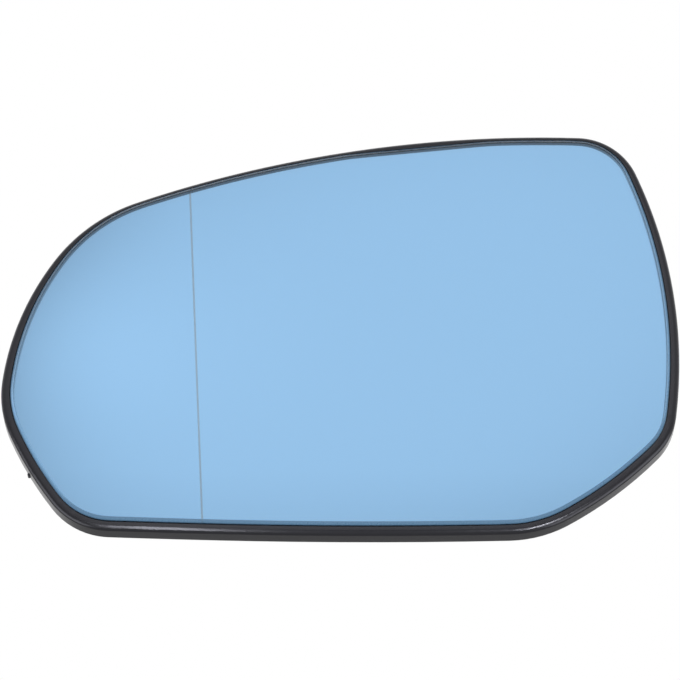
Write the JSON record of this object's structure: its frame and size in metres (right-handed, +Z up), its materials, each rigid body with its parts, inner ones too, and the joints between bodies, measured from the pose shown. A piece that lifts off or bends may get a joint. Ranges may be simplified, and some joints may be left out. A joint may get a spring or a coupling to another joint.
{
  "type": "car door mirror glass",
  "caption": "Blue coated convex door mirror glass with an etched outer zone line, held in a black moulded backing plate with a heating pad and a clip-on actuator collar.",
  "frame": {"origin": "centre of the actuator collar's mouth on the back of the plate", "axes": "the mirror faces -Y, +Y points out of the back along the collar, +Z is up and +X is to the right seen from the front"},
  "size_m": [0.1906, 0.016, 0.1184],
  "materials": {
    "mirror": "blue reflective coating behind clear glass",
    "heating_pad": "matt self-adhesive film",
    "black_plastic": "satin moulded black",
    "terminal": "tinned"
  },
  "bodies": {
    "root": {"mirror_glass": "mirror", "heater_pad": "heating_pad", "backing_plate": "black_plastic", "heater_terminal_left": "terminal", "heater_terminal_right": "terminal"}
  },
  "joints": []
}
